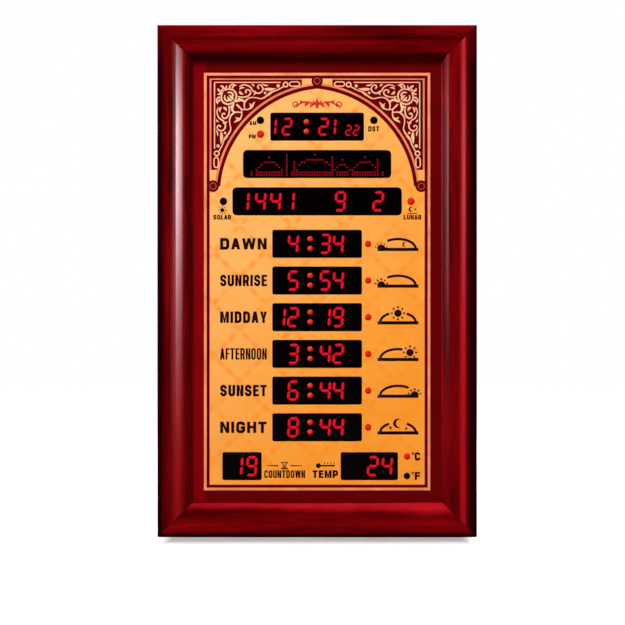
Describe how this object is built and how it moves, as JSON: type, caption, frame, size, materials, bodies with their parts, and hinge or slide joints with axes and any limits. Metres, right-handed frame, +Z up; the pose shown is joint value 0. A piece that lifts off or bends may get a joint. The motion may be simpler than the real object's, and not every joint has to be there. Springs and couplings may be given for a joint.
{
  "type": "prayer time wall clock",
  "caption": "Tall wooden-framed LED wall clock with a printed arch panel, rows of red digit displays, indicator lamps, a rear speaker and push buttons.",
  "frame": {"origin": "middle of the bounding box's bottom face: on the bottom edge that the clock can stand on, midway across and midway front to back", "axes": "+Z up the tall side; -Y out of the printed face towards the viewer; +Y into the wall; +X to the viewer's right"},
  "size_m": [0.468, 0.05, 0.75],
  "materials": {
    "wood": "mahogany-stained moulding under gloss lacquer",
    "print": "screen-printed acrylic sheet, gold field and maroon border",
    "module": "black lens",
    "lamp_lit": "clear red, lit",
    "lamp_dark": "clear red, unlit",
    "board": "green solder mask",
    "cover": "fine-textured black moulding",
    "black_plastic": "satin black",
    "liner": "raw wood strip",
    "steel": "zinc-plated",
    "cone": "pressed paper",
    "cable": "grey PVC"
  },
  "bodies": {
    "case": {"frame_rail_top": "wood", "frame_rail_bottom": "wood", "frame_rail_left": "wood", "frame_rail_right": "wood", "front_panel": "print", "liner_left": "liner", "liner_right": "liner", "display_board": "board", "display_clock": "module", "display_message": "module", "display_date": "module", "display_dawn": "module", "display_sunrise": "module", "display_noon": "module", "display_afternoon": "module", "display_sunset": "module", "display_night": "module", "display_countdown": "module", "display_temperature": "module", "lamp_am": "lamp_dark", "lamp_pm": "lamp_lit", "lamp_daylight_saving": "lamp_dark", "lamp_solar_calendar": "lamp_dark", "lamp_lunar_calendar": "lamp_lit", "lamp_dawn": "lamp_lit", "lamp_sunrise": "lamp_lit", "lamp_noon": "lamp_lit", "lamp_afternoon": "lamp_lit", "lamp_sunset": "lamp_lit", "lamp_night": "lamp_lit", "lamp_celsius": "lamp_lit", "lamp_fahrenheit": "lamp_dark", "main_board": "board", "coin_cell": "steel", "back_cover": "cover", "power_jack": "black_plastic", "jack_cup": "black_plastic", "cover_screw_left_lower": "steel", "cover_screw_right_lower": "steel", "cover_screw_left_middle": "steel", "cover_screw_right_middle": "steel", "cover_screw_left_upper": "steel", "cover_screw_right_upper": "steel", "hanger_left": "steel", "hanger_right": "steel", "hanger_screw_left_upper": "steel", "hanger_screw_left_lower": "steel", "hanger_screw_right_upper": "steel", "hanger_screw_right_lower": "steel", "speaker_basket": "steel", "speaker_cone": "cone", "control_board": "board", "volume_potentiometer": "steel", "speaker_lead": "cable", "ribbon_cable": "cable"},
    "button_menu": {"button_menu": "black_plastic"},
    "button_up": {"button_up": "black_plastic"},
    "button_down": {"button_down": "black_plastic"},
    "button_enter": {"button_enter": "black_plastic"},
    "volume_knob": {"volume_knob": "black_plastic"}
  },
  "joints": [
    {"name": "press_menu", "type": "slide", "parent": "case", "child": "button_menu", "axis": [0, -1, 0], "range_m": [0, 0.0015], "stiffness_N_per_m": 800},
    {"name": "press_up", "type": "slide", "parent": "case", "child": "button_up", "axis": [0, -1, 0], "range_m": [0, 0.0015], "stiffness_N_per_m": 800},
    {"name": "press_down", "type": "slide", "parent": "case", "child": "button_down", "axis": [0, -1, 0], "range_m": [0, 0.0015], "stiffness_N_per_m": 800},
    {"name": "press_enter", "type": "slide", "parent": "case", "child": "button_enter", "axis": [0, -1, 0], "range_m": [0, 0.0015], "stiffness_N_per_m": 800},
    {"name": "turn_volume", "type": "hinge", "parent": "case", "child": "volume_knob", "pos_m": [-0.131, 0.02, 0.232], "axis": [0, -1, 0], "range_deg": [0, 280]}
  ]
}
